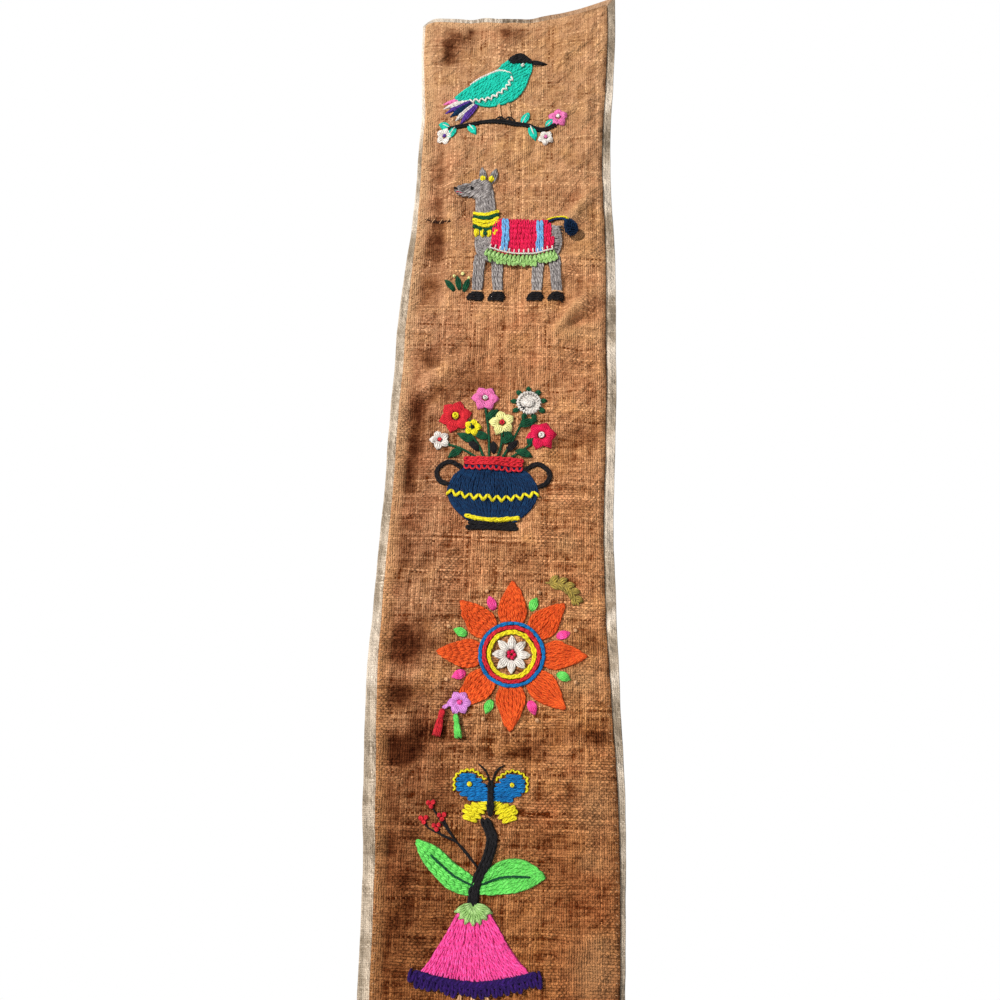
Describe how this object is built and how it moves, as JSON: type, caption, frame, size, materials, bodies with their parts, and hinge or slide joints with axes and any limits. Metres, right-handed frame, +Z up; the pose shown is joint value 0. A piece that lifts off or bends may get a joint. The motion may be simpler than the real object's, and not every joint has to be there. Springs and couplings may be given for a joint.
{
  "type": "embroidered wall banner",
  "caption": "Long narrow wall hanging: brown hand-woven cloth with turned hems on a cream backing, worked in wool with plants and animals, hung by its top edge.",
  "frame": {"origin": "middle of the top edge, on the back of the backing, where the banner is held up", "axes": "+X to the viewer's right, +Y towards the wall, +Z up, along the banner's length"},
  "size_m": [0.1632, 0.0243, 0.7775],
  "materials": {
    "face_cloth": "coarse slubby plain weave, matt, orange brown",
    "backing_cloth": "finer plain weave, matt, cream",
    "wool_navy": "matt wool",
    "wool_white": "matt wool",
    "wool_red": "matt wool",
    "wool_green": "matt wool"
  },
  "bodies": {
    "root": {"face_panel": "face_cloth", "backing_panel": "backing_cloth", "pompom_navy": "wool_navy", "rosette_white": "wool_white", "tassel_red": "wool_red", "tassel_green": "wool_green"}
  },
  "joints": []
}
